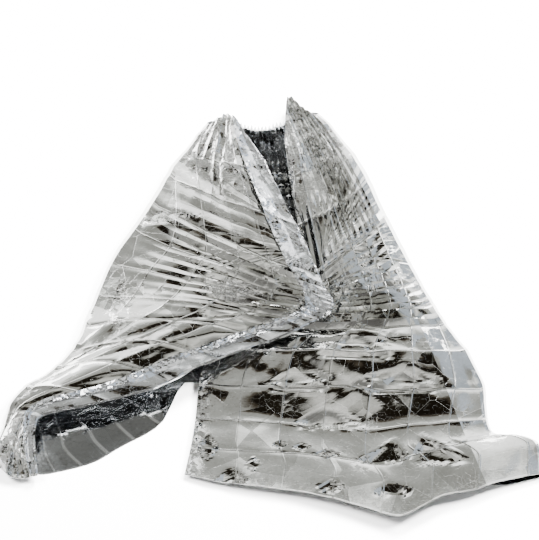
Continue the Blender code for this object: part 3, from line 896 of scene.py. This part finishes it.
def film_points():
    """Points of the middle of the film, its place in the sheet, and how crumpled and dented it is."""
    grid = middle_surface()
    down = np.repeat(ROWS[:, None], grid.shape[1], axis=1)
    across = grid[..., 3]
    crumpled = crumpled_zone(grid, down)
    starts, full, fades, gone = GATHERED_ROWS
    opened = 1 - 0.8 * (smooth(starts, full, down) * (1 - smooth(fades, gone, down)))
    calm = 1 - 0.7 * smooth(*CALM_FROM, down) * smooth(*RIGHT_PANEL_FROM, across)
    facets = pillows(across, down) * opened * calm + cross_ridges(across, down)
    facets += crumple(across, down, **WIDE_CREASES) * opened * calm
    facets += crumple(across, down, **FINE_CREASES, rise=FINE_SMOOTH_RISE + FINE_CRUMPLED_RISE * crumpled)
    facets *= smooth(0, 0.02, grid[..., 2] + 0.004) * drawn_together(grid, down)
    smoothed = normals(eased(grid[..., :3], 8))
    points = grid[..., :3] + smoothed * facets[..., None]
    points[..., 2] = np.maximum(points[..., 2], FILM_THICKNESS)
    return points, across, down, crumpled, np.clip(dents(grid) / FULL_DENT, 0, 1)


def drawn_together(grid, down):
    """1 where the film lies open, and less where its folds are drawn together."""
    cut_across = np.maximum(np.abs(np.gradient(grid[..., 3], axis=1)), 1e-5)
    open_across = length_of(np.gradient(grid[..., :2], axis=1)) / cut_across
    open_down = length_of(np.gradient(grid[..., :2], axis=0)) / np.gradient(down, axis=0)
    return np.clip(np.minimum(open_across, open_down), 0.1, 1)


def diamond(points, place):
    """1 in the middle of a four-sided spot and 0 beyond it."""
    x, y, half_width, half_height = place
    off = np.abs(points[..., 0] - x) / half_width + np.abs(points[..., 1] - y) / half_height
    return 1 - smooth(0.6, 1.0, off)


def build_film():
    points, across, down, crumpled, dented = film_points()
    half = normals(eased(points, 1)) * FILM_THICKNESS / 2
    sides = np.stack([points + half, points - half])
    sides[..., 2] = np.maximum(sides[..., 2], 0.0001)
    low, high = sides.min(axis=(0, 1, 2)), sides.max(axis=(0, 1, 2))
    sides[..., :2] -= (low[:2] + high[:2]) / 2
    outer = sides[0]
    for *place, share in CRUSHED_SPOTS:
        crumpled = np.maximum(crumpled, diamond(outer, place) * share)
    pale = smooth(*PALE_HEM_FROM, down) * smooth(*RIGHT_PANEL_FROM, across) + DENT_LEAN * dented
    for *place, lean in LEANING_SPOTS:
        pale += diamond(outer, place) * lean
    rows, columns = across.shape
    worn, inner, edge = sheet_faces(rows, columns)
    mesh = bpy.data.meshes.new("foil_sheet")
    mesh.from_pydata(sides.reshape(-1, 3).tolist(), [], np.concatenate([worn, inner, edge]).tolist())
    mesh.materials.append(film_finish("film_worn_side", WORN_SIDE))
    mesh.materials.append(film_finish("film_inner_side", INNER_SIDE))
    slots = np.concatenate([np.zeros(len(worn)), np.ones(len(inner)), np.zeros(len(edge))]).astype(int)
    mesh.polygons.foreach_set("material_index", slots)
    place = np.tile(np.stack([across, down], axis=-1).reshape(-1, 2), (2, 1))
    corners = np.empty(len(mesh.loops), dtype=int)
    mesh.loops.foreach_get("vertex_index", corners)
    sheet_map = mesh.uv_layers.new(name="sheet")
    sheet_map.data.foreach_set("uv", place[corners].ravel())
    for name, share in (("crumpled", crumpled), ("pale", pale)):
        zone = mesh.attributes.new(name, "FLOAT", "POINT")
        zone.data.foreach_set("value", np.tile(share.ravel(), 2))
    mesh.update()
    film = bpy.data.objects.new("foil_sheet", mesh)
    bpy.context.scene.collection.objects.link(film)
    bpy.ops.object.select_all(action="DESELECT")
    film.select_set(True)
    bpy.context.view_layer.objects.active = film
    bpy.ops.object.shade_smooth_by_angle(angle=math.radians(CREASE_ANGLE))
    return film


class Wire:
    """A value that travels through the nodes of a material or of the studio."""

    def __init__(self, nodes, socket):
        self.nodes = nodes
        self.socket = socket

    def math(self, operation, *others):
        values = dict(enumerate((self, *others)))
        return self.nodes.node("ShaderNodeMath", {"operation": operation}, values)

    def __add__(self, other):
        return self.math("ADD", other)

    def __sub__(self, other):
        return self.math("SUBTRACT", other)

    def __rsub__(self, other):
        return self * -1 + other

    def __mul__(self, other):
        return self.math("MULTIPLY", other)

    def __truediv__(self, other):
        return self.math("DIVIDE", other)

    __radd__ = __add__
    __rmul__ = __mul__

    def step(self, low, high):
        """0 below `low`, 1 above `high`, and a smooth rise between."""
        settings = {"interpolation_type": "SMOOTHSTEP"}
        return self.nodes.node("ShaderNodeMapRange", settings, {"Value": self, 1: low, 2: high})


class Nodes:
    """The node tree of a material or of the studio."""

    def __init__(self, owner):
        owner.use_nodes = True
        self.tree = owner.node_tree

    def node(self, kind, settings=None, inputs=None, output=0):
        """Output of a new node, whose settings are made before its sockets are fed."""
        node = self.tree.nodes.new(kind)
        for name, value in (settings or {}).items():
            setattr(node, name, value)
        for socket, value in (inputs or {}).items():
            self.feed(node.inputs[socket], value)
        return Wire(self, node.outputs[output])

    def feed(self, socket, value):
        if isinstance(value, Wire):
            self.tree.links.new(value.socket, socket)
        else:
            socket.default_value = value

    def blended(self, share, first, second):
        """One colour mixed into another."""
        inputs = {"Factor": share, 6: first, 7: second}
        return self.node("ShaderNodeMix", {"data_type": "RGBA"}, inputs, 2)

    def vector(self, operation, *values, output=0):
        return self.node("ShaderNodeVectorMath", {"operation": operation}, dict(enumerate(values)), output)

    def part(self, place, number):
        return self.node("ShaderNodeSeparateXYZ", {}, {"Vector": place}, number)

    def cloud(self, place, scale, detail):
        return self.node("ShaderNodeTexNoise", {}, {"Vector": place, "Scale": scale, "Detail": detail})


class Finish(Nodes):
    """A material with one Principled shader."""

    def __init__(self, name, **constants):
        self.material = bpy.data.materials.new(name)
        super().__init__(self.material)
        self.shader = self.tree.nodes["Principled BSDF"]
        self.set(**constants)

    def set(self, **inputs):
        for name, value in inputs.items():
            self.feed(self.shader.inputs[name.replace("_", " ")], value)

    def tilted(self, off_middle, chance):
        """Height of a flat facet that tilts its own way about its middle."""
        way = self.vector("SUBTRACT", chance, (0.5, 0.5, 0.5))
        return self.vector("DOT_PRODUCT", off_middle, way, output=1)

    def scattered_facets(self, place, scale):
        """Flat facets of many sizes, each with a tilt of its own, that meet in straight creases."""
        inputs = {"Vector": place, "Scale": scale, "Randomness": 1.0}
        middle = self.node("ShaderNodeTexVoronoi", {"feature": "F1"}, inputs, "Position")
        chance = Wire(self, middle.socket.node.outputs["Color"])
        return self.tilted(self.vector("SUBTRACT", place, middle), chance)

    def facets(self, spot, size, crumpled, patches=0.0):
        """Scattered facets of one size, steeper where the film is crumpled and in patches."""
        to_a_metre, smooth_tilt, crumpled_tilt = size
        return self.scattered_facets(spot, to_a_metre) * (crumpled * crumpled_tilt + patches + smooth_tilt)

    def fan_of_pleats(self, spot):
        """Thin pleats, each as wide and as steep as it happens, that fan out from the gathers."""
        off = self.vector("SUBTRACT", spot, FAN_MIDDLE)
        x, y = self.part(off, 0), self.part(off, 1)
        away = self.vector("LENGTH", self.vector("MULTIPLY", off, (1.0, 1.0, 0.0)), output=1)
        bend = self.cloud(spot, 5.0, 2.0) * 1.6
        turn = x.math("ARCTAN2", y) * FAN_PLEATS + bend
        inputs = {"W": turn, "Scale": 1.0, "Randomness": 1.0}
        from_middle = self.node("ShaderNodeTexVoronoi", {"voronoi_dimensions": "1D"}, inputs, "Distance")
        chance = self.part(Wire(self, from_middle.socket.node.outputs["Color"]), 0)
        reach = away.step(0.01, 0.04) * (1 - away.step(0.22, 0.46)) * y.step(-0.07, 0.01)
        return from_middle * (chance - 0.2) * away * reach * (FAN_SLOPE / FAN_PLEATS)

    def side_flap(self, spot):
        """The film falls away to the right of the crease down the right side."""
        off = self.vector("DOT_PRODUCT", self.vector("SUBTRACT", spot, FLAP_CREASE), FLAP_WAY, output=1)
        return off.math("MAXIMUM", 0.0) * -FLAP_SLOPE

    def packing_panels(self, place, pale):
        """The flat panels between the packing folds, each with a tilt of its own."""
        pitch = (SHEET_WIDTH / PACKING_FOLDS_ACROSS, SHEET_LENGTH / PACKING_FOLDS_DOWN, 1.0)
        number = self.vector("DIVIDE", place, pitch)
        panel = self.vector("FLOOR", self.vector("ADD", number, (0.0, 0.0, 0.5)))
        settings = {"noise_dimensions": "3D"}
        chance = self.node("ShaderNodeTexWhiteNoise", settings, {"Vector": panel}, "Color")
        middle = self.vector("MULTIPLY", self.vector("ADD", panel, (0.5, 0.5, 0.0)), pitch)
        off_middle = self.vector("SUBTRACT", place, middle)
        by_chance = self.tilted(off_middle, chance) * PANEL_TILT
        return by_chance + self.part(off_middle, 1) * pale * LEAN_TILT


def packing_line(place, pitch, waver, width):
    """1 along each packing fold and 0 between them."""
    nearest = (place / pitch + 0.5 + waver).math("FRACT")
    off_line = (nearest - 0.5).math("ABSOLUTE") * pitch
    return 1 - off_line.step(0.15 * width, width)


def film_finish(name, side):
    """Metallised film: fine creases everywhere, finer ones where it is crumpled, and worn packing folds."""
    finish = Finish(name, Metallic=1.0)
    place = finish.node("ShaderNodeUVMap", {"uv_map": "sheet"})
    spot = finish.node("ShaderNodeTexCoord", output=3)
    crumpled = finish.node("ShaderNodeAttribute", {"attribute_name": "crumpled"}, output=2)
    pale = finish.node("ShaderNodeAttribute", {"attribute_name": "pale"}, output=2)
    across, down = finish.part(place, 0), finish.part(place, 1)
    strip = 1 - across.step(STRIP_WIDTH, STRIP_WIDTH + 0.010)
    wear = finish.cloud(place, 9.0, 5.0)
    grain = finish.cloud(place, 150.0, 2.0)
    patches = wear.step(*PATCH_WEAR) * PATCH_TILT
    waver = (wear - 0.5) * 0.05
    pitch = SHEET_WIDTH / PACKING_FOLDS_ACROSS / side["lines_to_a_fold"]
    fold_across = packing_line(across, pitch, waver, side["line_width"])
    fold_down = packing_line(down, SHEET_LENGTH / PACKING_FOLDS_DOWN, waver, side["line_width"])
    folds = fold_across.math("MAXIMUM", fold_down)
    large = finish.facets(spot, LARGE_FACETS, crumpled)
    small = finish.facets(spot, SMALL_FACETS, crumpled, patches)
    fine = finish.facets(spot, FINE_FACETS, crumpled)
    strip_sides = (across - STRIP_CREASE).math("ABSOLUTE") * strip * STRIP_TILT
    forms = finish.packing_panels(place, pale) + finish.fan_of_pleats(spot) + finish.side_flap(spot)
    height = forms + strip_sides + large + small + fine + folds * side["line_depth"]
    bump = finish.node("ShaderNodeBump", {}, {"Strength": 1.0, "Distance": 1.0, "Height": height})
    plain = finish.blended((wear * 0.9 + grain * 0.2).step(0.2, 0.8), side["dull"], side["bright"])
    if side is INNER_SIDE:
        # Painted light: lighter where the inner side lies in the shade between the panels, leaving the
        # painted shade at the neck and the hem.
        starts, full, fades, gone = PAINTED_LIGHT_ROWS
        painted_light = down.step(starts, full) - down.step(fades, gone)
        plain = finish.blended(painted_light, plain, PAINTED_LIGHT_BETWEEN_PANELS)
    # Painted sheen: crumpled film and the turned-back strip are coloured whiter, a painted highlight, and
    # on the inner side a painted bluish reflection.
    with_painted_sheen = finish.blended(crumpled.math("MAXIMUM", strip), plain, side["painted_sheen"])
    finish.set(
        Base_Color=finish.blended(folds * side["line_share"], with_painted_sheen, side["line"]),
        Roughness=wear * 0.03 + folds * 0.05 + (1 - strip * 0.8) * side["roughness"],
        Normal=bump,
    )
    return finish.material


def lay_floor():
    bpy.ops.object.select_all(action="DESELECT")
    bpy.ops.mesh.primitive_plane_add(size=14, location=(0, 0, 0))
    floor = bpy.context.active_object
    floor.name = "studio_floor"
    finish = Finish("floor_paper", Base_Color=(0.50, 0.50, 0.495, 1), Roughness=0.85)
    floor.data.materials.append(finish.material)


def hang_light(name, place, size, power):
    """A soft box that lights the floor, and whose own shape the film doesn't mirror."""
    lamp = bpy.data.lights.new(name, "AREA")
    lamp.shape = "RECTANGLE"
    lamp.size, lamp.size_y = size
    lamp.energy = power
    light = bpy.data.objects.new(name, lamp)
    light.location = place
    light.rotation_euler = (Vector((0, 0, 0)) - Vector(place)).to_track_quat("-Z", "Y").to_euler()
    light.visible_glossy = False
    bpy.context.scene.collection.objects.link(light)


def paint_studio():
    """Studio that the film mirrors: an arc from back to front over the top, between two pale side walls."""
    world = bpy.data.worlds.new("studio")
    bpy.context.scene.world = world
    studio = Nodes(world)
    way = studio.node("ShaderNodeTexCoord")
    x, y, z = (studio.part(way, number) for number in range(3))
    ramp = studio.node("ShaderNodeValToRGB", {}, {0: z.math("ARCTAN2", y) / math.pi})
    stops = ramp.socket.node.color_ramp.elements
    while len(stops) < len(ARC_STOPS):
        stops.new(1)
    for stop, (place, colour) in zip(stops, ARC_STOPS):
        stop.position = place
        stop.color = (*colour, 1)
    starts, full, fades, gone = WALL_REACH
    walls = ramp
    for side, colour in ((x * -1, LEFT_WALL), (x, RIGHT_WALL)):
        wall = side.step(starts, full) - side.step(fades, gone)
        walls = studio.blended(wall, walls, (*colour, 1))
    background = studio.tree.nodes["Background"]
    studio.feed(background.inputs["Color"], walls)
    studio.feed(background.inputs["Strength"], STUDIO_LIGHT)


def set_camera():
    camera = bpy.data.objects.new("camera", bpy.data.cameras.new("camera"))
    bpy.context.scene.collection.objects.link(camera)
    aim = Vector(CAMERA_AIM)
    rise = math.radians(CAMERA_RISE)
    camera.location = aim + CAMERA_DISTANCE * Vector((0, -math.cos(rise), math.sin(rise)))
    camera.rotation_euler = (math.radians(90 - CAMERA_RISE), 0, 0)
    camera.data.sensor_width = 36
    camera.data.lens = 36 * CAMERA_DISTANCE / VIEW_WIDTH
    bpy.context.scene.camera = camera


film = build_film()
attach(film, "root")
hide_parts("blanket")
lay_floor()
paint_studio()
for box in SOFT_BOXES:
    hang_light(*box)
set_camera()
